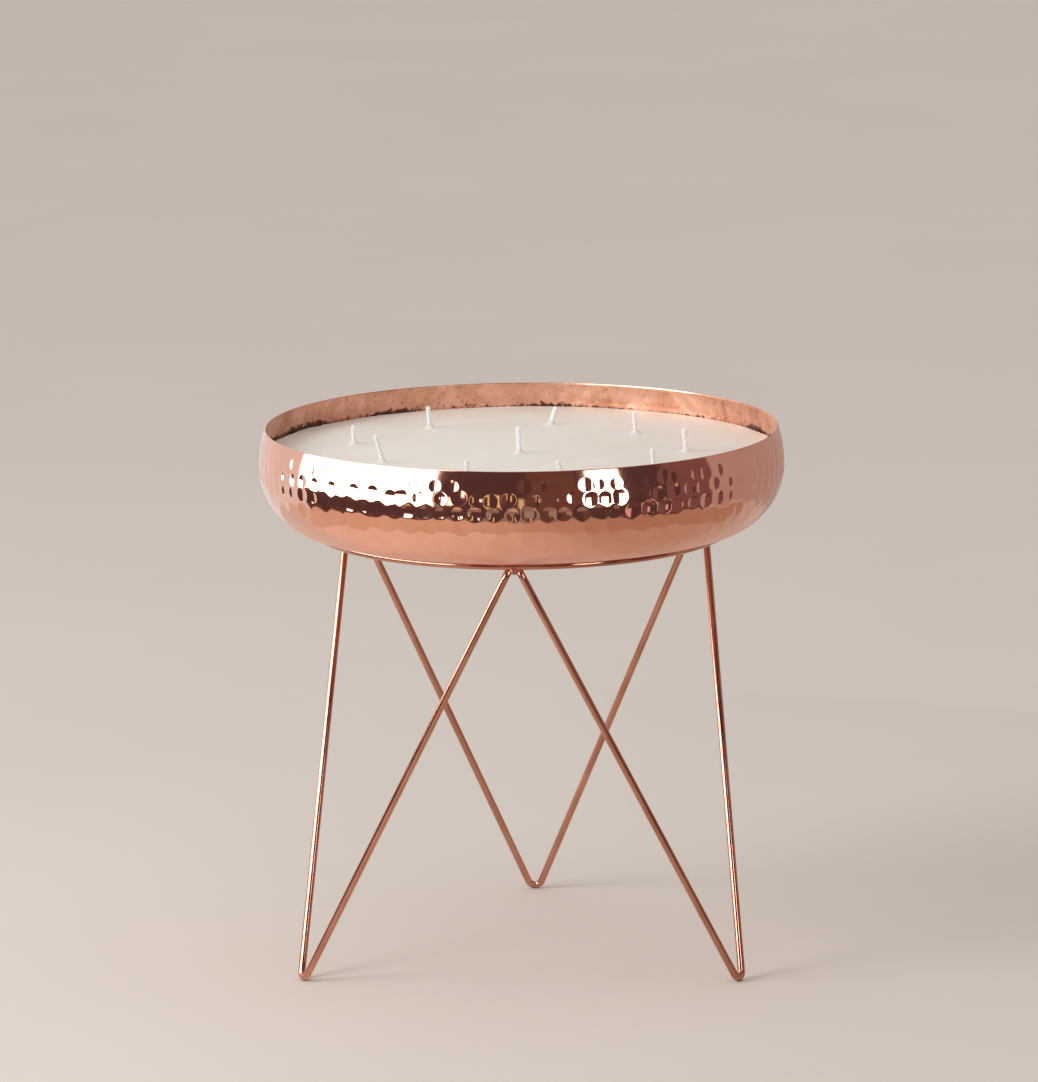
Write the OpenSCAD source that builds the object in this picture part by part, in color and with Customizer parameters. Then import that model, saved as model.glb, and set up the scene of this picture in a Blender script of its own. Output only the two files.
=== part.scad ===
// Hammered copper bowl of candle wax with ten wicks, resting in a wire stand
// that has one ring and three hairpin legs. Millimetres, +Z up. The origin is on
// the floor, under the middle of the ring; one leg points straight along +Y.

/* [Bowl] */
// Widest diameter of the bowl
bowl_d = 300; // [292:1:312]
// Height of the bowl from its base to its rim
bowl_h = 56.1; // [53:0.1:60]
// Diameter of the flat base, which rests on the ring
base_d = 250; // [246:1:256]
// Radius of the corner between the flat base and the side
corner_curve_r = 14; // [12:0.5:17]
// Radius of the bulge round the side
side_curve_r = 38; // [36:0.5:42]
// Radius of the curve that leans in from the widest line to the rim
lip_curve_r = 70; // [60:1:100]
// Thickness of the copper sheet
sheet_t = 1; // [0.8:0.1:1.6]

/* [Wax and wicks] */
// How far the wax lies below the rim
wax_drop = 14.5; // [8:0.5:20]
// Shrinkage gap between the wax and the copper
wax_gap = 0.1; // [0.05:0.05:0.3]
// Diameter of a braided wick
wick_d = 2.7; // [2:0.1:3.2]
// Diameter of the metal tab that holds a wick's foot
tab_d = 15; // [12:0.5:18]
// Thickness of a tab
tab_t = 0.4; // [0.3:0.1:0.8]
// Height of the tab's crimped neck
tab_neck_h = 4; // [3:0.5:8]
// Wall of the tab's neck
tab_neck_wall = 0.6; // [0.4:0.1:1]

/* [Stand] */
// Diameter of the stand's wire
wire_d = 4.2; // [3.6:0.2:4.6]
// Diameter of the ring, to the middle of its wire
ring_d = 236; // [232:1:246]
// Height of the ring, to the middle of its wire
ring_z = 249.3; // [200:0.4:280]
// Distance of each foot from the middle, to the middle of the wire
foot_r = 143; // [120:1:145]
// Radius of the bend at each foot, to the middle of the wire
foot_bend_r = 4.2; // [3.4:0.2:8]
// Clearance between the bowl and the ring that carries it
seat_gap = 0.3; // [0.2:0.05:0.5]
// Distance between the two leg ends at each joint, to the middle of the wires
leg_pair_gap = 3.2; // [3.2:0.2:6]
// Radius of the weld bead at each joint
weld_r = 3; // [2.8:0.1:3.6]

/* [Hidden] */

$fn = 96;

// Each wick was set by hand: its X, its Y, the length that shows and its lean to +X.
wicks = [
    [-97, 21, 12, -2],
    [-77, -38, 17, -16],
    [-56, 72, 14, -6],
    [-1, -9, 16, -2],
    [14, 84, 12, 17],
    [64, 54, 14, -4],
    [94, -4, 14, -6],
    [77, -66, 14, -5],
    [28, -101, 14, -20],
    [-26, -101, 14, -2]
];
// The wick stands straight this far above the wax before it leans.
wick_straight = 1.5;
// How much thicker the wick is at that bend, where wax has soaked it.
wick_swell = 0.2;
// Height of each tab above the copper, which a film of wax fills.
tab_lift = 0.5;
// Play between a leg's end and the ring, which the weld fills.
end_gap = 0.1;

bowl_r = bowl_d / 2;
base_r = base_d / 2;
wire_r = wire_d / 2;
ring_r = ring_d / 2;

// The flat base lies on top of the ring's wire, less the seat gap.
base_z = ring_z + wire_r + seat_gap;
rim_z = base_z + bowl_h;

// The corner's curve runs into the side's curve, which ends upright at the widest line.
corner_z = base_z + corner_curve_r;
side_curve_x = bowl_r - side_curve_r;
blend = side_curve_r - corner_curve_r;
widest_z = corner_z + sqrt(blend ^ 2 - (base_r - side_curve_x) ^ 2);
blend_angle = acos((base_r - side_curve_x) / blend);
lip_curve_x = bowl_r - lip_curve_r;

wax_z = rim_z - wax_drop;
// The tabs stand level, a little above the copper floor.
tab_z = base_z + sheet_t + tab_lift;

// A leg's two ends meet the underside of the ring near two joints 120 degrees apart.
leg_end_angle = 60 - asin(leg_pair_gap / 2 / ring_r);
leg_half_w = ring_r * sin(leg_end_angle);
leg_top_r = ring_r * cos(leg_end_angle);
leg_rise = ring_z - wire_r;
leg_lean = atan((foot_r - leg_top_r) / leg_rise);
leg_l = norm([foot_r - leg_top_r, leg_rise]);
// The straight wires are tangent to the foot's bend.
leg_reach = norm([leg_half_w, leg_l - foot_bend_r]);
straight_l = sqrt(leg_reach ^ 2 - foot_bend_r ^ 2);
half_spread = atan(leg_half_w / (leg_l - foot_bend_r)) - asin(foot_bend_r / leg_reach);

// Half of the bowl's section up to a height, drawn in by inset from the outer face.
module bowl_section(inset, top) {
    side_r = side_curve_r - inset;
    side_low_x = side_curve_x + side_r * cos(blend_angle);
    side_low_z = widest_z - side_r * sin(blend_angle);
    intersection() {
        square([bowl_d, top]);
        union() {
            // everything inside the chords of the curves
            polygon([
                [0, base_z + inset],
                [base_r, base_z + inset],
                [side_low_x, side_low_z],
                [bowl_r - inset, widest_z],
                [lip_curve_x, widest_z + lip_curve_r],
                [0, widest_z + lip_curve_r]
            ]);
            // curve between the base and the side
            intersection() {
                translate([base_r, corner_z])
                    circle(r = corner_curve_r - inset);
                polygon([
                    [base_r, base_z + inset],
                    [side_low_x, base_z],
                    [side_low_x, side_low_z]
                ]);
            }
            // bulge of the side
            intersection() {
                translate([side_curve_x, widest_z])
                    circle(r = side_r);
                polygon([
                    [side_low_x, side_low_z],
                    [bowl_r, side_low_z],
                    [bowl_r, widest_z],
                    [bowl_r - inset, widest_z]
                ]);
            }
            // lean of the lip
            translate([lip_curve_x, widest_z])
                intersection() {
                    circle(r = lip_curve_r - inset);
                    square(lip_curve_r);
                }
        }
    }
}

module bowl_shell() {
    color("#b87355")
        rotate_extrude()
            difference() {
                bowl_section(0, rim_z);
                bowl_section(sheet_t, rim_z + sheet_t);
            }
}

// The upright length of a wick, from its tab to a height.
module wick_stem(i, top) {
    translate([wicks[i][0], wicks[i][1], tab_z])
        cylinder(d = wick_d, h = top - tab_z);
}

// A wick: upright through the wax, then leaning from a soaked knot just above it.
module wick(i) {
    place = wicks[i];
    bend_z = wax_z + wick_straight;
    color("#f4efe8") {
        wick_stem(i, bend_z);
        translate([place[0], place[1], bend_z]) {
            sphere(d = wick_d + wick_swell);
            rotate([0, place[3], 0])
                cylinder(d = wick_d, h = place[2] - wick_straight);
        }
    }
}

// The outside of a tab: a thin disc and the neck that is crimped round the wick.
module tab_body(i) {
    translate([wicks[i][0], wicks[i][1], tab_z]) {
        cylinder(d = tab_d, h = tab_t);
        cylinder(d = wick_d + 2 * tab_neck_wall, h = tab_neck_h);
    }
}

module wick_tab(i) {
    color("#a9abad")
        difference() {
            tab_body(i);
            wick_stem(i, wax_z);
        }
}

module wax_fill() {
    color("#e6dacb")
        difference() {
            rotate_extrude()
                bowl_section(sheet_t + wax_gap, wax_z);
            for (i = [0:len(wicks) - 1]) {
                tab_body(i);
                wick_stem(i, wax_z + wick_d);
            }
        }
}

// The ring's wire, or the room cut for it.
module ring_wire(r) {
    translate([0, 0, ring_z])
        rotate_extrude($fn = 192)
            translate([ring_r, 0])
                circle(r = r);
}

module stand_ring() {
    color("#a35f4a")
        ring_wire(wire_r);
}

// One hairpin leg, bent from one length of wire, with its foot along +Y.
module hairpin() {
    translate([0, foot_r, wire_r])
        rotate([90 + leg_lean, 0, 0])
            translate([0, foot_bend_r, 0]) {
                rotate([0, 0, 180 + half_spread])
                    rotate_extrude(angle = 180 - 2 * half_spread)
                        translate([foot_bend_r, 0])
                            circle(r = wire_r);
                for (side = [0, 1])
                    mirror([side, 0, 0])
                        rotate([0, 0, -half_spread])
                            translate([foot_bend_r, 0, 0])
                                rotate([-90, 0, 0])
                                    cylinder(r = wire_r, h = straight_l);
            }
}

module leg(turn) {
    color("#a35f4a")
        rotate([0, 0, turn])
            difference() {
                hairpin();
                ring_wire(wire_r + end_gap);
            }
}

// A bead of weld under the ring, which joins the ends of two neighbouring legs to it.
module weld(turn) {
    color("#8f5342")
        difference() {
            rotate([0, 0, turn])
                translate([0, -ring_r, ring_z - wire_r])
                    sphere(r = weld_r);
            ring_wire(wire_r);
            for (k = [0:2])
                rotate([0, 0, 120 * k])
                    difference() {
                        hairpin();
                        ring_wire(wire_r + end_gap);
                    }
        }
}

bowl_shell();
wax_fill();
wick(0);  // wick_01
wick(1);  // wick_02
wick(2);  // wick_03
wick(3);  // wick_04
wick(4);  // wick_05
wick(5);  // wick_06
wick(6);  // wick_07
wick(7);  // wick_08
wick(8);  // wick_09
wick(9);  // wick_10
wick_tab(0);  // wick_tab_01
wick_tab(1);  // wick_tab_02
wick_tab(2);  // wick_tab_03
wick_tab(3);  // wick_tab_04
wick_tab(4);  // wick_tab_05
wick_tab(5);  // wick_tab_06
wick_tab(6);  // wick_tab_07
wick_tab(7);  // wick_tab_08
wick_tab(8);  // wick_tab_09
wick_tab(9);  // wick_tab_10
stand_ring();
leg(0);  // leg_back
leg(120);  // leg_front_left
leg(240);  // leg_front_right
weld(0);  // weld_front
weld(120);  // weld_back_right
weld(240);  // weld_back_left
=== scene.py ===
# %% [markdown]
# # The looks of a hammered copper bowl candle on a wire stand
#
# The design is already fixed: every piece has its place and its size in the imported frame.
# This lesson gives the pieces the surface that a maker's hands leave on them. The work
# goes from the bowl outwards: copper, wax, wicks, wire, welds, and then the studio.
# Everything is in metres, with +Z up and the floor at zero.

# %% Load the frame
import math
import bpy
import numpy as np
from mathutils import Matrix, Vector


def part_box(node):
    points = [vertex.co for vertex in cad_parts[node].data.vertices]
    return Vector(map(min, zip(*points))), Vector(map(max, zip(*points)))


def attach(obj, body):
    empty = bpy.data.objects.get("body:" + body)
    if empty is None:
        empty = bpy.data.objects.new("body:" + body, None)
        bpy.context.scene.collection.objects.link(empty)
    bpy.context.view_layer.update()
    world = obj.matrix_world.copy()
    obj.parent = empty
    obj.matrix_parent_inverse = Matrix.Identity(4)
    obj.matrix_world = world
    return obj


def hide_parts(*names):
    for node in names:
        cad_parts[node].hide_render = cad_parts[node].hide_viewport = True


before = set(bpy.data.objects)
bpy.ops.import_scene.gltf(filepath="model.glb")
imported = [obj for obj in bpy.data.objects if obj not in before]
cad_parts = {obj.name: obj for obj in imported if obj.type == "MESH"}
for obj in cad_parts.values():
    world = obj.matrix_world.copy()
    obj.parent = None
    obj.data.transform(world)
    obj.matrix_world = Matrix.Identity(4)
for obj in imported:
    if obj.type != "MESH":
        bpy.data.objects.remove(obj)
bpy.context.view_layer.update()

MM = 0.001
bowl_low, bowl_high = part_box("bowl_shell")
wax_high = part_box("wax_fill")[1]
ring_low, ring_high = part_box("stand_ring")

# %% [markdown]
# ## Two small tools
#
# Almost every surface here is a net: rows of points that run round an axis or along a
# line. One function turns such rows into a mesh, so that each piece only has to say
# where its points are. Colours are picked on a screen, so a second function turns
# screen values into the linear values that a shader expects.

# %% A net of points becomes a mesh
def net_faces(rows, closed_round, closed_rows, cap_start, cap_end):
    """Points and faces of one net; rows is an array (row, column, xyz)."""
    count, around = rows.shape[:2]
    down = count if closed_rows else count - 1
    span = around if closed_round else around - 1
    r, c = np.meshgrid(np.arange(down), np.arange(span), indexing="ij")
    below, beside = (r + 1) % count, (c + 1) % around
    corners = [r * around + c, r * around + beside, below * around + beside, below * around + c]
    faces = np.stack(corners, axis=-1).reshape(-1, 4).tolist()
    points = rows.reshape(-1, 3)
    for wanted, row, flip in ((cap_start, 0, False), (cap_end, count - 1, True)):
        if wanted:
            points = np.vstack([points, rows[row].mean(axis=0)])
            tip, first = len(points) - 1, row * around
            for k in range(around):
                pair = (first + k, first + (k + 1) % around)
                faces.append((tip, *pair) if flip else (tip, *pair[::-1]))
    return points, faces


def net_mesh(name, nets, closed_round=True, closed_rows=False, cap_start=False, cap_end=False):
    """One mesh from one net or from a list of nets."""
    points, faces = [], []
    for rows in nets if isinstance(nets, list) else [nets]:
        start = sum(len(part) for part in points)
        part, part_faces = net_faces(rows, closed_round, closed_rows, cap_start, cap_end)
        points.append(part)
        faces += [tuple(start + k for k in face) for face in part_faces]
    mesh = bpy.data.meshes.new(name)
    mesh.from_pydata(np.vstack(points).tolist(), [], faces)
    mesh.update()
    mesh.shade_smooth()
    return mesh


def add_piece(name, mesh):
    piece = bpy.data.objects.new(name, mesh)
    bpy.context.scene.collection.objects.link(piece)
    return piece


def screen(red, green, blue):
    """A colour picked on a screen, 0 to 255, as linear red, green, blue and alpha."""
    def linear(value):
        part = value / 255
        return part / 12.92 if part <= 0.04045 else ((part + 0.055) / 1.055) ** 2.4
    return (linear(red), linear(green), linear(blue), 1.0)


# %% [markdown]
# ## A short way to wire materials
#
# A finish is built from a few node types again and again: a noise, a colour ramp, a
# bump. Each helper adds one node and hands back the socket that the next step needs, so
# a material reads as a recipe from top to bottom.

# %% Helpers for material nodes
class Recipe:
    """Builds one node material around a Principled shader."""

    def __init__(self, name):
        self.material = bpy.data.materials.new(name)
        self.material.use_nodes = True
        self.tree = self.material.node_tree
        self.shader = self.tree.nodes["Principled BSDF"]
        self.place = self.node("ShaderNodeTexCoord").outputs["Object"]

    def node(self, kind, **settings):
        made = self.tree.nodes.new(kind)
        for key, value in settings.items():
            setattr(made, key, value)
        return made

    def join(self, output, target):
        self.tree.links.new(output, target)

    def stretched(self, scale):
        mapping = self.node("ShaderNodeMapping")
        mapping.inputs["Scale"].default_value = scale
        self.join(self.place, mapping.inputs["Vector"])
        return mapping.outputs["Vector"]

    def noise(self, size, detail=3.0, rough=0.55, where=None):
        """Cloudy noise whose blobs are about size metres across."""
        made = self.node("ShaderNodeTexNoise")
        made.inputs["Scale"].default_value = 1 / size
        made.inputs["Detail"].default_value = detail
        made.inputs["Roughness"].default_value = rough
        self.join(where or self.place, made.inputs["Vector"])
        return made.outputs["Fac"]

    def ramp(self, value, *stops):
        """stops are (position, colour) pairs from low to high."""
        made = self.node("ShaderNodeValToRGB")
        ends = made.color_ramp.elements
        while len(ends) < len(stops):
            ends.new(0.5)
        for end, (position, colour) in zip(ends, stops):
            end.position = position
            end.color = colour
        self.join(value, made.inputs["Fac"])
        return made.outputs["Color"]

    def spread(self, value, low, high, from_low=0.3, from_high=0.7):
        """Maps the useful part of a noise onto the range from low to high."""
        made = self.node("ShaderNodeMapRange")
        made.inputs["From Min"].default_value = from_low
        made.inputs["From Max"].default_value = from_high
        made.inputs["To Min"].default_value = low
        made.inputs["To Max"].default_value = high
        self.join(value, made.inputs["Value"])
        return made.outputs["Result"]

    def mix(self, factor, first, second, blend="MIX"):
        made = self.node("ShaderNodeMix", data_type="RGBA", blend_type=blend)
        self.join(factor, made.inputs["Factor"])
        for value, socket in ((first, made.inputs[6]), (second, made.inputs[7])):
            if isinstance(value, tuple):
                socket.default_value = value
            else:
                self.join(value, socket)
        return made.outputs[2]

    def bump(self, height, depth, strength=1.0, under=None):
        made = self.node("ShaderNodeBump")
        made.inputs["Strength"].default_value = strength
        made.inputs["Distance"].default_value = depth
        self.join(height, made.inputs["Height"])
        if under is not None:
            self.join(under, made.inputs["Normal"])
        return made.outputs["Normal"]

    def set(self, **values):
        for key, value in values.items():
            socket = self.shader.inputs[key.replace("_", " ")]
            if hasattr(value, "default_value"):
                self.join(value, socket)
            else:
                socket.default_value = value
        return self


# %% [markdown]
# ## The bowl's section
#
# A bowl like this is spun or raised from one sheet of copper. Its base is flat and rests
# on the ring. From there its section is three arcs that run into one another: a tight
# corner, a wider bulge, and a long one that leans the lip in. A revolved curve object could
# make the plain shape, but the hammer marks need a point every fraction of a millimetre, so
# the section is sampled here and turned into a net.

# %% The outer section, from rim to base
BOWL_R = 150 * MM
BASE_R = 125 * MM
CORNER_CURVE_R = 14 * MM
SIDE_CURVE_R = 38 * MM
LIP_CURVE_R = 70 * MM
SHEET = 1.0 * MM

base_z = bowl_low.z
rim_z = bowl_high.z
corner_z = base_z + CORNER_CURVE_R
side_curve_x = BOWL_R - SIDE_CURVE_R
blend_r = SIDE_CURVE_R - CORNER_CURVE_R
widest_z = corner_z + math.sqrt(blend_r ** 2 - (BASE_R - side_curve_x) ** 2)
blend_angle = math.acos((BASE_R - side_curve_x) / blend_r)
lip_curve_x = BOWL_R - LIP_CURVE_R
rim_angle = math.asin((rim_z - widest_z) / LIP_CURVE_R)

lip_length = LIP_CURVE_R * rim_angle
side_end = lip_length + SIDE_CURVE_R * blend_angle
corner_end = side_end + CORNER_CURVE_R * (math.pi / 2 - blend_angle)
section_length = corner_end + BASE_R


def section_at(s, inset=0.0):
    """Radius, height and outward normal at the distance s below the rim, along the sheet."""
    s = np.asarray(s, float)
    on_lip, on_side, on_corner = s < lip_length, s < side_end, s < corner_end
    lip_a = rim_angle - s / LIP_CURVE_R
    side_a = -(s - lip_length) / SIDE_CURVE_R
    corner_a = -blend_angle - (s - side_end) / CORNER_CURVE_R
    angle = np.select([on_lip, on_side, on_corner], [lip_a, side_a, corner_a], -math.pi / 2)
    bend = np.select([on_lip, on_side], [LIP_CURVE_R, SIDE_CURVE_R], CORNER_CURVE_R) - inset
    mid_x = np.select([on_lip, on_side], [lip_curve_x, side_curve_x], BASE_R)
    mid_z = np.where(on_side, widest_z, corner_z)
    radius = np.where(on_corner, mid_x + bend * np.cos(angle), BASE_R - (s - corner_end))
    height = np.where(on_corner, mid_z + bend * np.sin(angle), base_z + inset)
    return radius, height, np.cos(angle), np.sin(angle)


print("the lip is", round(lip_length / MM, 1), "mm of a section", round(section_length / MM, 1), "mm long")

# %% [markdown]
# ## The hammer marks
#
# The maker planishes the side with a round-faced hammer, in rings: three rings of deep
# round dents from the lip to the widest line, then only light blows underneath. A bump
# map could hint at this, but in polished copper each dent is a tiny mirror, and its
# outline shows against the light. So the dents are real: a soft-edged spherical hollow,
# laid into the net at each blow.

# %% Where the blows fall
rng = np.random.default_rng(11)
DRIFT_DOWN = 1.6 * MM


def ring_of_blows(depth_down, spacing, width, depth, drift, start):
    """One ring of blows: rows of (angle, distance below the rim, radius of dent, depth)."""
    around = 2 * math.pi * float(section_at(depth_down)[0])
    count = int(round(around / spacing))
    angle = start + (np.arange(count) + rng.uniform(-drift, drift, count)) * 2 * math.pi / count
    down = depth_down + rng.normal(0, drift, count) * DRIFT_DOWN
    size = width / 2 * rng.uniform(0.86, 1.12, count)
    deep = depth * rng.uniform(0.5, 1.15, count)
    return np.stack([angle, down, size, deep], axis=1)


# Each ring: how far below the rim, spacing, width and depth of its dents, drift, start.
deep_blows = [
    ring_of_blows(8.6 * MM, 11.5 * MM, 7.6 * MM, 0.44 * MM, 0.34, 0.013),
    ring_of_blows(16.0 * MM, 10.4 * MM, 8.4 * MM, 0.56 * MM, 0.30, 0.041),
    ring_of_blows(24.0 * MM, 9.8 * MM, 8.7 * MM, 0.66 * MM, 0.12, 0.004),
]
LIGHT_RINGS = ((33, 0.34), (41, 0.24), (50, 0.18), (59, 0.10), (66, 0.06))
light_blows = [
    ring_of_blows(down * MM, 12.5 * MM, 12.0 * MM, depth * MM, 0.35, down / 7)
    for down, depth in LIGHT_RINGS
]
blows = np.vstack(deep_blows + light_blows)
print("the hammer falls", len(blows), "times")

# %% How deep the sheet lies at every point of the net
AROUND = 1440
FADE = 1.5
turn = np.arange(AROUND) * 2 * math.pi / AROUND


def dent_shape(reach, edge):
    """A round hollow with a softened edge: 1 in the middle, 0 outside; reach 1 is its edge."""
    hollow = 1 - reach ** 2
    soft = (hollow + np.sqrt(hollow ** 2 + edge ** 2)) / 2
    left_over = edge ** 2 / 4 / (FADE ** 2 - 1)
    return (soft - left_over) * (reach < FADE)


def hammered(s_rows, edge):
    """Depth of the hammer marks at every row and every step round."""
    depth = np.zeros((len(s_rows), AROUND))
    for angle, down, size, deep in blows:
        near = np.where(np.abs(s_rows - down) < FADE * size)[0]
        if len(near) == 0:
            continue
        radius = float(section_at(down)[0])
        half = int(FADE * size / radius / (2 * math.pi) * AROUND) + 1
        middle = int(round(angle / (2 * math.pi) * AROUND))
        columns = (np.arange(middle - half, middle + half + 1)) % AROUND
        across = (turn[columns] - angle + math.pi) % (2 * math.pi) - math.pi
        reach = np.hypot((s_rows[near, None] - down), across[None, :] * radius) / size
        spot = np.ix_(near, columns)
        depth[spot] = np.maximum(depth[spot], deep * dent_shape(reach, edge))
    return depth


def slow_waves(s_rows, size):
    """Gentle unevenness of hand-worked sheet, size metres deep at most."""
    waves = np.zeros((len(s_rows), AROUND))
    for lobes in (3, 5, 9, 14, 23, 31):
        phase, slope = rng.uniform(0, 2 * math.pi), rng.uniform(-60, 60)
        waves += np.sin(lobes * turn[None, :] + phase + slope * s_rows[:, None]) / lobes ** 0.5
    return size * (waves - waves.max()) / (waves.max() - waves.min())


print("the deepest dent is", round(blows[:, 3].max() / MM, 2), "mm deep")

# %% [markdown]
# ## The copper shell
#
# The net runs from the middle of the base, up the outside, over the rounded rim and down
# the inside to the middle of the floor. Rows lie close together where the dents are deep
# and further apart where the sheet is smooth or hidden. A dent pushes the whole sheet, so
# the same blows show inside as low bumps.

# %% How far apart the rows lie
def spaced_rows(start, *stretches):
    """Distances below the rim; each stretch is (where it ends, its step)."""
    rows = [np.array([start])]
    for stop, step in stretches:
        count = max(2, int(round(abs(stop - start) / step)) + 1)
        rows.append(np.linspace(start, stop, count)[1:])
        start = stop
    return np.concatenate(rows)


FIRST_ROW = 0.6 * MM
BELOW_DENTS = 31 * MM
BELOW_WAX_LINE = 22 * MM
last_row = section_length - 4 * MM
outer_s = spaced_rows(
    FIRST_ROW, (BELOW_DENTS, 0.6 * MM), (side_end, 1.6 * MM), (corner_end, 1.0 * MM),
    (corner_end + 16 * MM, 2.0 * MM), (last_row, 8 * MM))
inner_s = spaced_rows(FIRST_ROW, (BELOW_WAX_LINE, 0.7 * MM), (corner_end, 2.5 * MM), (last_row, 10 * MM))
print(len(outer_s), "rows outside and", len(inner_s), "rows inside")

# %% Outside and inside
POLISH_CUT = 0.1 * MM
SHARP_EDGE, SOFT_EDGE = 0.07, 0.35
FELT_INSIDE = 0.8

outer_sink = hammered(outer_s, SHARP_EDGE) - slow_waves(outer_s, 0.22 * MM) + POLISH_CUT
inner_sink = hammered(inner_s, SOFT_EDGE) * FELT_INSIDE + POLISH_CUT


def wrap(s_rows, inset, sink):
    """Rows of points round the bowl, pushed inwards by sink along the normal."""
    radius, height, out_r, out_z = section_at(s_rows, inset)
    r = radius[:, None] - sink * out_r[:, None]
    z = height[:, None] - sink * out_z[:, None]
    return np.stack([r * np.cos(turn), r * np.sin(turn), z], axis=-1)


outside = wrap(outer_s, 0.0, outer_sink)
inside = wrap(inner_s, SHEET, inner_sink)
print("outside and inside have", outside[..., 0].size + inside[..., 0].size, "points")

# %% The rounded rim, and one closed net
RIM_WEAR = 0.05 * MM
outer_edge_r = np.hypot(outside[0, :, 0], outside[0, :, 1])
inner_edge_r = np.hypot(inside[0, :, 0], inside[0, :, 1])
rim_mid_r = (outer_edge_r + inner_edge_r) / 2
rim_half = outer_edge_r - rim_mid_r
rim_base_z = (outside[0, :, 2] + inside[0, :, 2]) / 2
rim_lift = rim_z - RIM_WEAR - rim_base_z
lip_rows = []
for lean in np.radians([30, 60, 90, 120, 150]):
    r = rim_mid_r + rim_half * math.cos(lean)
    z = rim_base_z + rim_lift * math.sin(lean)
    lip_rows.append(np.stack([r * np.cos(turn), r * np.sin(turn), z], axis=-1))

shell_rows = np.concatenate([outside[::-1], np.array(lip_rows), inside])
shell_mesh = net_mesh("copper_shell", shell_rows, cap_start=True, cap_end=True)
copper_shell = add_piece("copper_shell", shell_mesh)
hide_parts("bowl_shell")
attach(copper_shell, "bowl")
print("the shell has", len(shell_mesh.polygons), "faces")

# %% [markdown]
# ## Polished copper outside, tarnished copper inside
#
# Copper is a metal, so its colour is the colour of its reflections: Metallic is 1 and
# the base colour tints everything it mirrors. The outside has been buffed, so it is nearly
# a mirror, with faint smears, and duller low down, where the buffing wheel hardly reaches.
# The inside is softer: pickled, then tarnished by heat and wax, with brown clouds and with
# burnt specks just above the wax. Both finishes could be painted as images, but node noise
# needs no unwrapping and stays sharp at any distance.

# %% Buffed copper
buffed = Recipe("buffed_copper")
smears = buffed.noise(0.045, detail=4)
clouds = buffed.noise(0.018, detail=5, rough=0.6)
warm = buffed.ramp(clouds, (0.35, (0.89, 0.48, 0.35, 1)), (0.65, (0.93, 0.53, 0.40, 1)))
grain = buffed.noise(0.0009, detail=2)
height = buffed.node("ShaderNodeSeparateXYZ")
buffed.join(buffed.place, height.inputs[0])
satin = buffed.spread(height.outputs[2], 0.30, 0.0, base_z + 2 * MM, base_z + 19 * MM)
polish = buffed.node("ShaderNodeMath", operation="ADD")
buffed.join(satin, polish.inputs[0])
buffed.join(buffed.spread(smears, 0.05, 0.10), polish.inputs[1])
buffed.set(Base_Color=warm, Metallic=1.0, Roughness=polish.outputs[0])
buffed.set(Normal=buffed.bump(grain, 0.02 * MM, 0.25))
print("buffed copper has", len(buffed.tree.nodes), "nodes")

# %% Tarnished copper
BURNT_BROWN = (0.16, 0.07, 0.05, 1)
WHITE = (1, 1, 1, 1)
tarnished = Recipe("tarnished_copper")
blotch = tarnished.noise(0.020, detail=5, rough=0.6)
fleck = tarnished.noise(0.0022, detail=4, rough=0.7)
clean_tone = tarnished.ramp(blotch, (0.36, (0.62, 0.31, 0.20, 1)), (0.60, (0.86, 0.50, 0.37, 1)))
flecks = tarnished.ramp(fleck, (0.33, (0.42, 0.20, 0.14, 1)), (0.44, WHITE))
tone = tarnished.mix(tarnished.spread(blotch, 0.9, 0.35), clean_tone, flecks, "MULTIPLY")
level = tarnished.node("ShaderNodeSeparateXYZ")
tarnished.join(tarnished.place, level.inputs[0])
near_wax = tarnished.spread(level.outputs[2], 0.62, 0.30, wax_high.z, wax_high.z + 4.5 * MM)
patches = tarnished.noise(0.055, detail=1)
soot = tarnished.node("ShaderNodeMath", operation="MULTIPLY")
tarnished.join(near_wax, soot.inputs[0])
tarnished.join(tarnished.spread(patches, 0.75, 1.15, 0.42, 0.60), soot.inputs[1])
speck = tarnished.noise(0.0030, detail=5, rough=0.75)
burnt = tarnished.node("ShaderNodeMath", operation="LESS_THAN")
tarnished.join(speck, burnt.inputs[0])
tarnished.join(soot.outputs[0], burnt.inputs[1])
tone = tarnished.mix(burnt.outputs[0], tone, BURNT_BROWN)
tarnished.set(Base_Color=tone, Metallic=1.0, Roughness=tarnished.spread(blotch, 0.44, 0.34))
tarnished.set(Normal=tarnished.bump(fleck, 0.12 * MM, 0.35))

# %% Both finishes on the shell
shell_mesh.materials.append(buffed.material)
shell_mesh.materials.append(tarnished.material)
outer_faces = (len(outside) + len(lip_rows) - 1) * AROUND
which = np.zeros(len(shell_mesh.polygons), np.int32)
which[outer_faces:(len(shell_rows) - 1) * AROUND] = 1
which[-AROUND:] = 1
shell_mesh.polygons.foreach_set("material_index", which)
print("tarnished faces:", int(which.sum()))

# %% [markdown]
# ## The wax
#
# Soy or paraffin wax is poured hot and shrinks as it sets. It climbs a little up each
# wick, sinks a hair between them, and pulls away from the copper in places, which leaves
# a thin dark crack along the edge. The top is modelled as rings of points; the height at
# each point comes from how far it is from the nearest wick and from the wall.

# %% Where the wicks stand, and the copper wall that the wax meets
WICKS = sorted(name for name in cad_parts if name.startswith("wick_") and "tab" not in name)
WICK_R = 1.35 * MM
wax_top = wax_high.z
wick_feet = {}
for name in WICKS:
    co = np.array([v.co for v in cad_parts[name].data.vertices])
    buried = co[co[:, 2] < wax_top]
    wick_feet[name] = (buried.min(axis=0) + buried.max(axis=0)) / 2
feet_xy = np.array([wick_feet[name][:2] for name in WICKS])

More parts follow.
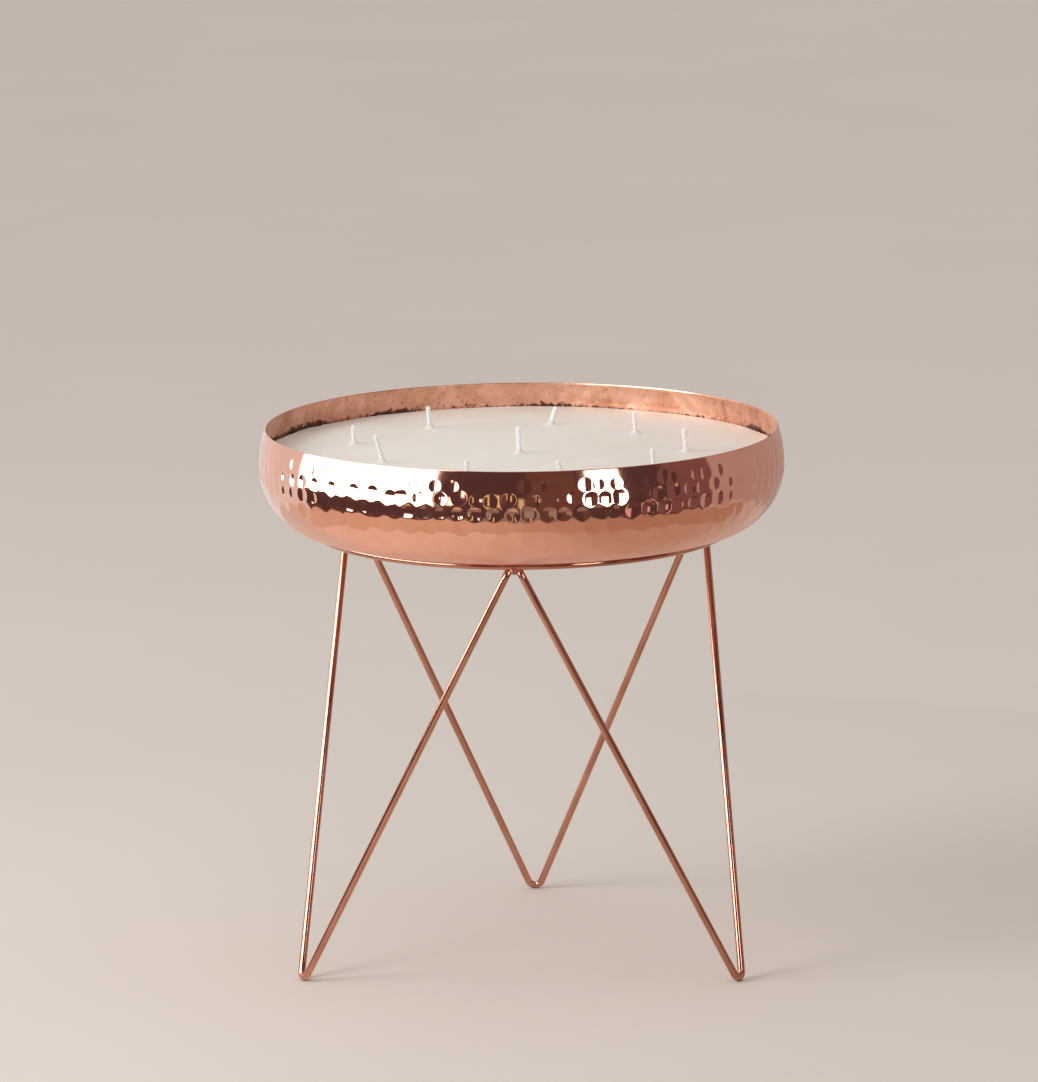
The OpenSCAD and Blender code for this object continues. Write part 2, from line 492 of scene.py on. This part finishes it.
try_s = np.linspace(0, 60 * MM, 400)
wall_s = float(np.interp(-wax_top, -section_at(try_s, SHEET)[1], try_s))
wall_sink = hammered(np.array([wall_s]), SOFT_EDGE) * FELT_INSIDE + POLISH_CUT
wall_row = wrap(np.array([wall_s]), SHEET, wall_sink)[0]
wall_r = np.hypot(wall_row[:, 0], wall_row[:, 1])
print("the wax meets the copper", round(wall_s / MM, 1), "mm below the rim")


def smooth_noise(count, lobes, rng):
    """A smooth closed ring of random numbers between 0 and 1."""
    wave = np.zeros(count)
    around = np.arange(count) * 2 * math.pi / count
    for k in lobes:
        wave += np.sin(k * around + rng.uniform(0, 2 * math.pi)) * rng.uniform(0.5, 1) / k ** 0.35
    return (wave - wave.min()) / (wave.max() - wave.min())


# %% The crack where the wax has pulled away
wax_rng = np.random.default_rng(5)
WAX_AROUND = 720
wax_turn = np.arange(WAX_AROUND) * 2 * math.pi / WAX_AROUND
wax_wall = wall_r[::AROUND // WAX_AROUND]
# Each pull: its direction in degrees, half its length in degrees, and its width in mm.
PULLS = ((150, 42, 1.9), (12, 16, 1.5), (80, 40, 0.6), (270, 60, 0.2))
CLOSED_CRACK = 0.06
ragged = np.clip(smooth_noise(WAX_AROUND, (19, 41, 67, 101, 149), wax_rng) * 1.3 - 0.15, 0.05, 1)
pulled = np.zeros(WAX_AROUND)
for middle, half, widest in PULLS:
    away = (np.degrees(wax_turn) - middle + 180) % 360 - 180
    pulled += widest * np.exp(-(away / half) ** 4)
crack = MM * (CLOSED_CRACK + ragged * pulled)
edge_r = wax_wall - crack
print("the crack is", round(crack.max() / MM, 2), "mm wide at most")

# %% How high the wax stands
SKIRT_H, SKIRT_W = 2.6 * MM, 1.2 * MM
SWELL_H, SWELL_W = 0.15 * MM, 11 * MM
LOW_LEVEL = 0.35 * MM
CLIMB_W = 2.2 * MM
ROUNDED_H, ROUNDED_W = 0.5 * MM, 0.25 * MM
RIPPLE = 0.05 * MM


def wax_height(x, y, to_edge):
    """Height of the wax: a skirt at each wick, a soft edge, and slight sinking between them."""
    z = np.full_like(x, wax_top - LOW_LEVEL)
    for fx, fy in feet_xy:
        away = np.hypot(x - fx, y - fy)
        z += SKIRT_H * np.exp(-np.maximum(away - WICK_R, 0) / SKIRT_W)
        z += SWELL_H * np.exp(-(away / SWELL_W) ** 2)
    z += LOW_LEVEL * np.exp(-to_edge / CLIMB_W)
    z += RIPPLE * np.sin(x * 61 + 1.1) * np.sin(y * 47 + 0.4)
    return z - ROUNDED_H * np.exp(-to_edge / ROUNDED_W)


# %% The top of the wax, from its edge to its middle
ring_share = np.concatenate([np.linspace(0.006, 0.965, 230), 1 - np.geomspace(0.034, 0.0008, 14)])
wax_rows = []
for share in ring_share[::-1]:
    r = edge_r * share
    x, y = r * np.cos(wax_turn), r * np.sin(wax_turn)
    wax_rows.append(np.stack([x, y, wax_height(x, y, edge_r - r)], axis=-1))
print("the top of the wax has", len(wax_rows), "rings of points")

# %% The hidden underside, and the closed net
UNDER_GAP = SHEET + 0.55 * MM
near_top = [wall_s + 0.9 * MM, wall_s + 3 * MM]
under_s = np.concatenate([near_top, np.linspace(wall_s + 8 * MM, section_length - 5 * MM, 26)])
under_r, under_z = section_at(under_s, UNDER_GAP)[:2]
under_rows = []
for k, (r, z) in enumerate(zip(under_r, under_z)):
    ring = np.full(WAX_AROUND, r) if k else (edge_r + r) / 2
    x, y = ring * np.cos(wax_turn), ring * np.sin(wax_turn)
    under_rows.append(np.stack([x, y, np.full(WAX_AROUND, z)], axis=-1))

wax_net = np.concatenate([np.array(under_rows[::-1]), np.array(wax_rows)])
wax_mesh = net_mesh("poured_wax", wax_net, cap_start=True, cap_end=True)
poured_wax = add_piece("poured_wax", wax_mesh)
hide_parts("wax_fill")
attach(poured_wax, "bowl")
print("the wax has", len(wax_mesh.polygons), "faces, and its top is at", round(wax_net[..., 2].max(), 4))

# %% [markdown]
# ## The wax's finish
#
# Light goes a few millimetres into wax and comes out again beside where it went in, so a
# plain painted surface looks like plaster. Subsurface scattering gives that softness. The
# cream colour is a little cloudy, and the skin has fine pits, which a slight bump draws.

# %% Cream wax that lets light in
wax = Recipe("cream_wax")
bloom = wax.noise(0.030, detail=4)
pits = wax.noise(0.0016, detail=3, rough=0.6)
cream = wax.ramp(bloom, (0.30, screen(226, 219, 209)), (0.70, screen(231, 225, 217)))
wax.set(Base_Color=cream, Roughness=wax.spread(bloom, 0.36, 0.48), IOR=1.44)
wax.set(Subsurface_Weight=0.35, Subsurface_Radius=(1.0, 0.75, 0.55), Subsurface_Scale=0.006)
soft_hills = wax.bump(bloom, 0.6 * MM, 0.3)
wax.set(Normal=wax.bump(pits, 0.06 * MM, 0.35, under=soft_hills))
wax_mesh.materials.append(wax.material)
print("cream wax has", len(wax.tree.nodes), "nodes")

# %% [markdown]
# ## Braided wicks
#
# A candle wick is a plait of cotton, stiffened with wax. Each wick here is three strands
# that really do cross: along the wick, a strand swings from side to side once while it
# moves to and fro twice. The tip is cut square, and a few loose fibres stand up from it.

# %% A round tube along any line
NOT_ALONG = [0.0, 1.0, 0.1]


def tube(line, radius, sides):
    """Rings of points round a line; radius is one number or one for each point of the line."""
    line = np.asarray(line, float)
    along = np.gradient(line, axis=0)
    along /= np.linalg.norm(along, axis=1)[:, None]
    side = np.cross(along[0], NOT_ALONG)
    turn_round = np.arange(sides) * 2 * math.pi / sides
    rows = []
    for place, forward, r in zip(line, along, np.broadcast_to(radius, len(line))):
        side = side - forward * np.dot(side, forward)
        side /= np.linalg.norm(side)
        up = np.cross(forward, side)
        rows.append(place + r * (np.cos(turn_round)[:, None] * side + np.sin(turn_round)[:, None] * up))
    return np.array(rows)


# %% The middle line of each wick
BEND_UP = 1.5 * MM
SOFT_BEND = 2.2 * MM
LINE_STEP = 0.3 * MM


def wick_line(name):
    """Foot, bend and tip of one wick, read from its shape in the design."""
    co = np.array([v.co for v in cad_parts[name].data.vertices])
    foot = wick_feet[name].copy()
    foot[2] = co[:, 2].min() + 0.1 * MM
    bend = np.array([foot[0], foot[1], wax_top + BEND_UP])
    end = co[co[:, 2] > (bend[2] + co[:, 2].max()) / 2]
    return foot, bend, (end.min(axis=0) + end.max(axis=0)) / 2


def smooth_line(foot, bend, tip, short):
    """Points along a wick: far apart in the wax, close where it shows, soft at the bend."""
    lean = (tip - bend) / np.linalg.norm(tip - bend)
    visible = np.linalg.norm(tip - bend) - short
    up = [foot + (bend - foot) * t for t in np.linspace(0, 1, 30)[:-3]]
    start, stop = bend - np.array([0, 0, SOFT_BEND]), bend + lean * SOFT_BEND
    curve = [(1 - t) ** 2 * start + 2 * t * (1 - t) * bend + t ** 2 * stop for t in np.linspace(0, 1, 16)]
    rest = [bend + lean * d for d in np.arange(SOFT_BEND + LINE_STEP, visible, LINE_STEP)]
    up = [p for p in up if p[2] < start[2] - LINE_STEP]
    return np.array(up + curve + rest)


# %% Three strands and some loose fibres
wick_rng = np.random.default_rng(23)
PITCH, SWING, DEEP, STRAND_R = 6.0 * MM, 0.62 * MM, 0.34 * MM, 0.80 * MM
SHOWN = 20 * MM


def braid(line, phase):
    """Three strands that cross along a line; only the last stretch, which shows, is fine."""
    length = np.concatenate([[0], np.cumsum(np.linalg.norm(np.diff(line, axis=0), axis=1))])
    shown_from = length[-1] - SHOWN
    fine = np.concatenate([np.arange(0, shown_from, 1.0 * MM), np.arange(shown_from, length[-1], 0.28 * MM)])
    middle = np.stack([np.interp(fine, length, line[:, k]) for k in range(3)], axis=1)
    left = np.array([math.cos(phase), math.sin(phase), 0])
    back = np.array([-math.sin(phase), math.cos(phase), 0])
    nets = []
    for k in range(3):
        t = 2 * math.pi * fine / PITCH + k * 2 * math.pi / 3
        strand = middle + SWING * np.sin(t)[:, None] * left + DEEP * np.sin(2 * t)[:, None] * back
        from_tip = fine[-1] - fine
        thick = STRAND_R * (1 - 0.45 * np.exp(-from_tip / (0.5 * MM)))
        nets.append(tube(strand, thick, 10))
    return nets


def fibres(tip_point, lean, count):
    """Short loose ends at the cut tip."""
    nets = []
    for _ in range(count):
        out = wick_rng.normal(0, 1, 3)
        out -= lean * np.dot(out, lean)
        out /= np.linalg.norm(out)
        start = tip_point - lean * wick_rng.uniform(0.6, 1.2) * MM + out * wick_rng.uniform(0.2, 0.9) * MM
        reach = wick_rng.uniform(0.6, 1.0) * MM
        points = [start + lean * reach * t + out * 0.25 * MM * t * t for t in np.linspace(0, 1.5, 6)]
        nets.append(tube(points, np.linspace(0.07, 0.03, 6) * MM, 5))
    return nets


# %% Waxed cotton
cotton = Recipe("waxed_cotton")
threads = cotton.noise(0.00045, detail=2, where=cotton.stretched((1, 1, 0.35)))
soak = cotton.noise(0.004, detail=2)
cotton.set(Base_Color=cotton.ramp(soak, (0.3, screen(252, 251, 253)), (0.7, screen(255, 255, 255))))
cotton.set(Roughness=cotton.spread(threads, 0.55, 0.8))
cotton.set(Subsurface_Weight=0.3, Subsurface_Radius=(1.0, 0.85, 0.8), Subsurface_Scale=0.001)
cotton.set(Normal=cotton.bump(threads, 0.12 * MM, 0.5))
print("waxed cotton has", len(cotton.tree.nodes), "nodes")

# %% Braid every wick
CUT_SHORT = 0.9 * MM
FIBRES = 14
for name in WICKS:
    foot, bend, tip = wick_line(name)
    lean = (tip - bend) / np.linalg.norm(tip - bend)
    line = smooth_line(foot, bend, tip, CUT_SHORT)
    nets = braid(line, wick_rng.uniform(-0.6, 0.6)) + fibres(line[-1], lean, FIBRES)
    mesh = net_mesh(name + "_braid", nets, cap_start=True, cap_end=True)
    mesh.materials.append(cotton.material)
    piece = add_piece(name + "_braid", mesh)
    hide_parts(name)
    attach(piece, "bowl")
print("braided", len(WICKS), "wicks")

# %% [markdown]
# ## Tabs under the wax
#
# Each wick is crimped into a pressed steel tab, which stays on the copper floor and is
# hidden by the wax. The tabs keep their shape from the design and only get a finish.

# %% Brushed steel for the tabs
steel = Recipe("pressed_steel")
brushing = steel.noise(0.0006, detail=3, where=steel.stretched((1, 12, 1)))
steel.set(Base_Color=steel.ramp(brushing, (0.3, (0.52, 0.53, 0.54, 1)), (0.7, (0.66, 0.67, 0.68, 1))))
steel.set(Metallic=1.0, Roughness=steel.spread(brushing, 0.28, 0.42))
steel.set(Normal=steel.bump(brushing, 0.03 * MM, 0.3))
TABS = sorted(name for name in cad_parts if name.startswith("wick_tab_"))
for name in TABS:
    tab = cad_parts[name]
    tab.data.materials.clear()
    tab.data.materials.append(steel.material)
print("finished", len(TABS), "tabs")

# %% [markdown]
# ## The wire stand
#
# The ring is one closed wire. Each leg is one length of wire, bent into a narrow V with
# a round foot, and leaned so that its two ends meet the underside of the ring. A bevelled
# curve would do for such wires, but the tube function above is already there, and a net
# keeps the ends closed. The wire is copper plated and only lightly polished, so its shine
# is a little uneven and has a fine grain.

# %% The ring
wire_r = (ring_high.z - ring_low.z) / 2
ring_z = (ring_high.z + ring_low.z) / 2
ring_r = ring_high.x - wire_r
polished_r = wire_r - 0.01 * MM
RING_STEPS, WIRE_SIDES = 480, 24
major = np.arange(RING_STEPS) * 2 * math.pi / RING_STEPS
ring_rows = []
for a in np.arange(WIRE_SIDES) * 2 * math.pi / WIRE_SIDES:
    r = ring_r + polished_r * math.cos(a)
    z = ring_z + polished_r * math.sin(a)
    ring_rows.append(np.stack([r * np.cos(major), r * np.sin(major), np.full_like(major, z)], axis=1))
ring_mesh = net_mesh("wire_ring", np.array(ring_rows), closed_rows=True)
wire_ring = add_piece("wire_ring", ring_mesh)
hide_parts("stand_ring")
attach(wire_ring, "stand")
print("the ring is", round(2 * ring_r, 3), "m across")

# %% A hairpin leg
FOOT_R = 143 * MM
FOOT_BEND = 4.2 * MM
PAIR_GAP = 3.2 * MM
TUCK = 1.3 * MM
JOINT_ANGLE = math.radians(60)

end_angle = JOINT_ANGLE - math.asin(PAIR_GAP / 2 / ring_r)
half_w, top_r = ring_r * math.sin(end_angle), ring_r * math.cos(end_angle)
rise = ring_z - wire_r
lean_angle = math.atan((FOOT_R - top_r) / rise)
slant = math.hypot(FOOT_R - top_r, rise)
reach = math.hypot(half_w, slant - FOOT_BEND)
straight = math.sqrt(reach ** 2 - FOOT_BEND ** 2)
spread = math.atan(half_w / (slant - FOOT_BEND)) - math.asin(FOOT_BEND / reach)


def hairpin(turn_deg):
    """Middle line of one leg, from one end under the ring, round the foot, to the other end."""
    bend = [(FOOT_BEND * math.cos(a), FOOT_BEND + FOOT_BEND * math.sin(a))
            for a in np.linspace(-spread, -math.pi + spread, 25)]
    steps = np.linspace(straight - TUCK, 0, 40)[:-1]
    down = [(bend[0][0] + d * math.sin(spread), bend[0][1] + d * math.cos(spread)) for d in steps]
    flat = down + bend + [(-u, v) for u, v in down[::-1]]
    t = math.radians(turn_deg)
    points = []
    for u, v in flat:
        x, y, z = u, FOOT_R - v * math.sin(lean_angle), wire_r + v * math.cos(lean_angle)
        points.append((x * math.cos(t) - y * math.sin(t), x * math.sin(t) + y * math.cos(t), z))
    return points


# %% Three legs, a third of a turn apart
LEGS = {"leg_back": 0, "leg_front_left": 120, "leg_front_right": 240}
leg_meshes = []
for name, turn_deg in LEGS.items():
    rows = tube(hairpin(turn_deg), polished_r, WIRE_SIDES)
    mesh = net_mesh(name + "_wire", rows, cap_start=True, cap_end=True)
    leg_meshes.append(mesh)
    piece = add_piece(name + "_wire", mesh)
    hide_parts(name)
    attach(piece, "stand")
print("each leg is", round(2 * straight + math.pi * FOOT_BEND, 3), "m of wire")

# %% Plated wire
plated = Recipe("plated_wire")
drawn = plated.noise(0.0011, detail=3, rough=0.6)
worn = plated.noise(0.030, detail=4)
plated.set(Base_Color=plated.ramp(worn, (0.35, (0.50, 0.23, 0.16, 1)), (0.65, (0.62, 0.31, 0.23, 1))))
plated.set(Metallic=1.0, Roughness=plated.spread(worn, 0.10, 0.20))
plated.set(Normal=plated.bump(drawn, 0.03 * MM, 0.25))
for mesh in [ring_mesh] + leg_meshes:
    mesh.materials.append(plated.material)
print("plated wires:", 1 + len(leg_meshes))

# %% [markdown]
# ## Weld beads
#
# Where two leg ends meet the ring there is one small bead. It was ground a little and
# plated over, so it is lumpy and duller than the wire. A smooth ball would look moulded,
# so each point of a ball is moved in or out by a few slow waves.

# %% Three lumpy beads
bead_rng = np.random.default_rng(3)
BEAD_ROWS, BEAD_SIDES, LUMPS = 24, 40, 6


def bead(low, high):
    """A lumpy ball that just fills a box."""
    middle, half = (np.array(low) + np.array(high)) / 2, (np.array(high) - np.array(low)) / 2
    lumps = [(bead_rng.normal(0, 1, 3), bead_rng.uniform(0, 6.28)) for _ in range(LUMPS)]
    a = np.arange(BEAD_SIDES) * 2 * math.pi / BEAD_SIDES
    rows = []
    for lat in np.linspace(-math.pi / 2, math.pi / 2, BEAD_ROWS + 2)[1:-1]:
        flat = math.cos(lat)
        out = np.stack([flat * np.cos(a), flat * np.sin(a), np.full(BEAD_SIDES, math.sin(lat))], axis=1)
        size = 0.93 + 0.010 * sum(np.sin(2.2 * out @ way + phase) for way, phase in lumps)
        rows.append(middle + out * size[:, None] * half)
    return np.array(rows)


# %% The finish of the beads, and their places
welded = Recipe("plated_weld")
crust = welded.noise(0.0012, detail=4, rough=0.65)
welded.set(Base_Color=welded.ramp(crust, (0.35, (0.34, 0.17, 0.13, 1)), (0.65, (0.56, 0.29, 0.22, 1))))
welded.set(Metallic=1.0, Roughness=welded.spread(crust, 0.28, 0.45))
welded.set(Normal=welded.bump(crust, 0.3 * MM, 0.5))
WELDS = ("weld_front", "weld_back_left", "weld_back_right")
for name in WELDS:
    mesh = net_mesh(name + "_bead", bead(*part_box(name)), cap_start=True, cap_end=True)
    mesh.materials.append(welded.material)
    piece = add_piece(name + "_bead", mesh)
    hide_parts(name)
    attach(piece, "stand")
print("made", len(WELDS), "weld beads")

# %% [markdown]
# ## The floor
#
# The studio floor is pale, warm and matt. One large sheet is enough, because nothing but
# soft shadows falls on it. A plane from the menu would do as well.

# %% A pale floor
FLOOR_HALF = 9.0
floor_rows = np.array([[(x, y, 0.0) for x in (-FLOOR_HALF, FLOOR_HALF)] for y in (-FLOOR_HALF, FLOOR_HALF)])
floor_mesh = net_mesh("floor", floor_rows, closed_round=False)
floor = add_piece("floor", floor_mesh)
ground = Recipe("pale_floor")
mottle = ground.noise(0.35, detail=4)
pale = ground.ramp(mottle, (0.3, screen(212, 204, 197)), (0.7, screen(215, 207, 200)))
ground.set(Base_Color=pale, Roughness=0.8)
floor_mesh.materials.append(ground.material)
print("the floor is", 2 * FLOOR_HALF, "m across")

# %% [markdown]
# ## What the copper sees
#
# Polished metal has no look of its own: it shows the room. In a studio, white and black
# cards are set round such a bowl until the highlights fall in the right places, and the
# same is done here. Each card is a glowing sheet that only reflections can see. It lights
# nothing, casts no shadow, and stays fixed in the room, so the highlights slide over the
# copper when the bowl turns, as they should. Upright cards are curved round the bowl, and
# their degrees are counted from the front towards the right.

# %% One card
def card(name, rows, strength, colour):
    """A glowing sheet that is seen only in reflections."""
    sheet = add_piece(name, net_mesh(name, rows, closed_round=False))
    for seen in ("visible_camera", "visible_diffuse", "visible_shadow", "visible_transmission"):
        setattr(sheet, seen, False)
    paper = bpy.data.materials.new(name)
    paper.use_nodes = True
    paper.node_tree.nodes.clear()
    glow = paper.node_tree.nodes.new("ShaderNodeEmission")
    glow.inputs["Color"].default_value = (*colour, 1)
    glow.inputs["Strength"].default_value = strength
    out = paper.node_tree.nodes.new("ShaderNodeOutputMaterial")
    paper.node_tree.links.new(glow.outputs[0], out.inputs[0])
    sheet.data.materials.append(paper)
    return sheet


def upright_card(name, radius, degrees, heights, colour, strength=1.0):
    """A card curved round the bowl, between two directions and two heights."""
    a = np.radians(np.linspace(*degrees, 33))
    rows = np.array([[(radius * math.sin(t), -radius * math.cos(t), z) for t in a] for z in heights])
    return card(name, rows, strength, colour)


# %% The dark studio, with a lighter foot where its walls meet the floor: a painted reflection of the far floor in shade
WALL = 0.66
upright_card("dark_studio", WALL, (-99, 84), (0.09, 1.6), (0.092, 0.052, 0.056))
# These low cards paint the reflection of the far floor in shade, lighter in front and darker at the sides.
upright_card("far_floor_shade", WALL, (-38, 42), (0.001, 0.09), (0.30, 0.22, 0.19))
upright_card("far_floor_shade_left", WALL, (-99, -38), (0.001, 0.09), (0.13, 0.075, 0.07))
upright_card("far_floor_shade_right", WALL, (42, 84), (0.001, 0.09), (0.13, 0.075, 0.07))
upright_card("brown_panel", WALL - 0.005, (4, 23), (0.10, 0.62), (0.15, 0.075, 0.066))
upright_card("violet_panel", WALL - 0.01, (60, 84), (0.10, 1.2), (0.20, 0.105, 0.11))
print("the dark walls stand", WALL, "m from the bowl")

# %% Windows and lamps
LAMP = 0.64
upright_card("window_left", LAMP, (-99, -32), (0.225, 1.2), (1, 0.98, 0.97), 6.0)
upright_card("lamp_right", LAMP, (28, 41), (0.244, 0.54), (1, 0.98, 0.97), 6.0)
upright_card("small_lamp_left", LAMP, (-27, -24), (0.24, 0.30), (1, 0.90, 0.85), 3.0)
upright_card("warm_strip_left", LAMP, (-9, -6), (0.20, 0.33), (0.95, 0.80, 0.42))
upright_card("warm_strip_right", LAMP, (1, 3), (0.16, 0.30), (0.85, 0.75, 0.50))
upright_card("grey_panel", LAMP, (-3, 12), (0.10, 0.16), (0.36, 0.33, 0.30))
upright_card("pink_panel", LAMP, (50, 58), (0.12, 0.22), (0.75, 0.52, 0.50))
print("windows, lamps and panels stand", LAMP, "m from the bowl")

# %% The pale room behind
BACK_WALL = 0.70
# The pale room is painted bright on the left, the window side, and darker on the right: painted light and
# painted shade on one pale wall.
upright_card("left_room", BACK_WALL, (-180, -99), (0.001, 1.6), (0.82, 0.80, 0.80))
upright_card("right_room", BACK_WALL, (84, 178), (0.001, 1.6), (0.44, 0.35, 0.33))
print("the room behind stands", BACK_WALL, "m from the bowl")

# %% [markdown]
# The floor needs a card too. Copper mirrors the floor in the band below its widest line,
# and the card paints that reflection with light and shade: painted light on the side of
# the window, and painted shade, darker and browner, further off. Two ring-shaped cards lie
# just above the floor, one inside the other, and a ramp along X blends each from its left
# colour to its right.

# %% Two floor cards, each with two colours
CARD_LIFT = 1.5 * MM


def floor_card(name, near, far, degrees, left, right):
    """A ring-shaped card on the floor that blends from left to right."""
    a = np.radians(np.linspace(*degrees, 61))
    rows = np.array([[(r * math.sin(t), -r * math.cos(t), CARD_LIFT) for t in a] for r in (near, far)])
    sheet = card(name, rows, 1.0, left)
    tree = sheet.data.materials[0].node_tree
    place = tree.nodes.new("ShaderNodeTexCoord")
    split = tree.nodes.new("ShaderNodeSeparateXYZ")
    share = tree.nodes.new("ShaderNodeMapRange")
    share.inputs["From Min"].default_value = -far / 2
    share.inputs["From Max"].default_value = far / 2
    blend = tree.nodes.new("ShaderNodeMix")
    blend.data_type = "RGBA"
    blend.inputs[6].default_value = (*left, 1)
    blend.inputs[7].default_value = (*right, 1)
    tree.links.new(place.outputs["Object"], split.inputs[0])
    tree.links.new(split.outputs[0], share.inputs["Value"])
    tree.links.new(share.outputs[0], blend.inputs["Factor"])
    tree.links.new(blend.outputs[2], tree.nodes["Emission"].inputs["Color"])


FLOOR_START, FLOOR_SEAM = 0.12, 0.40
# Painted reflection of the floor: painted light on the left, window side, and painted shade to the right and
# on the far ring.
floor_card("floor_near", FLOOR_START, FLOOR_SEAM, (-110, 110), (0.84, 0.69, 0.60), (0.50, 0.38, 0.30))
floor_card("floor_far", FLOOR_SEAM, WALL, (-110, 110), (0.72, 0.54, 0.43), (0.43, 0.29, 0.21))
print("the floor cards are", round(2 * WALL, 2), "m across")

# %% [markdown]
# ## Soft light
#
# The room's own light comes from everywhere and is slightly warm, so the world is one
# even colour. One big soft lamp, high on the left, adds the gentle shadow to the right of
# each foot. It is kept out of reflections, because the cards already stand for the windows.

# %% World and key lamp
ROOM_COLOUR, ROOM_STRENGTH = (1.0, 0.955, 0.915, 1), 0.75
KEY_AT, KEY_AIM = (-1.9, -0.9, 1.5), Vector((0, 0, 0.2))
KEY_SIZE, KEY_WATTS = 1.0, 28

world = bpy.data.worlds.new("studio")
bpy.context.scene.world = world
world.use_nodes = True
room_light = world.node_tree.nodes["Background"]
room_light.inputs["Color"].default_value = ROOM_COLOUR
room_light.inputs["Strength"].default_value = ROOM_STRENGTH

key_data = bpy.data.lights.new("key", "AREA")
key_data.shape = "SQUARE"
key_data.size = KEY_SIZE
key_data.energy = KEY_WATTS
key = bpy.data.objects.new("key", key_data)
bpy.context.scene.collection.objects.link(key)
key.location = KEY_AT
key.rotation_euler = (KEY_AIM - key.location).to_track_quat("-Z", "Y").to_euler()
key.visible_glossy = False
print("the key lamp gives", key_data.energy, "W from", round(key.location.length, 2), "m")

# %% [markdown]
# ## The camera
#
# A small object is shot from some way off with a long lens, which keeps its ellipses calm
# and its legs nearly parallel. The camera looks down on the bowl at about eleven degrees,
# which is enough to see the wax and the wicks over the rim.

# %% A long lens from the front
LENS_MM, SENSOR_MM = 212, 36
CAMERA_AT, CAMERA_AIM = (0.1453, -3.5748, 0.9391), Vector((-0.0019, 0.0, 0.2405))
CAMERA_ROLL = math.radians(-0.525)

camera_data = bpy.data.cameras.new("camera")
camera_data.lens = LENS_MM
camera_data.sensor_width = SENSOR_MM
camera = bpy.data.objects.new("camera", camera_data)
bpy.context.scene.collection.objects.link(camera)
camera.location = CAMERA_AT
camera.rotation_euler = (CAMERA_AIM - camera.location).to_track_quat("-Z", "Y").to_euler()
camera.rotation_euler.rotate_axis("Z", CAMERA_ROLL)
bpy.context.scene.camera = camera
bpy.context.scene.view_settings.view_transform = "Standard"
print("the camera stands", round((CAMERA_AIM - camera.location).length, 2), "m away")
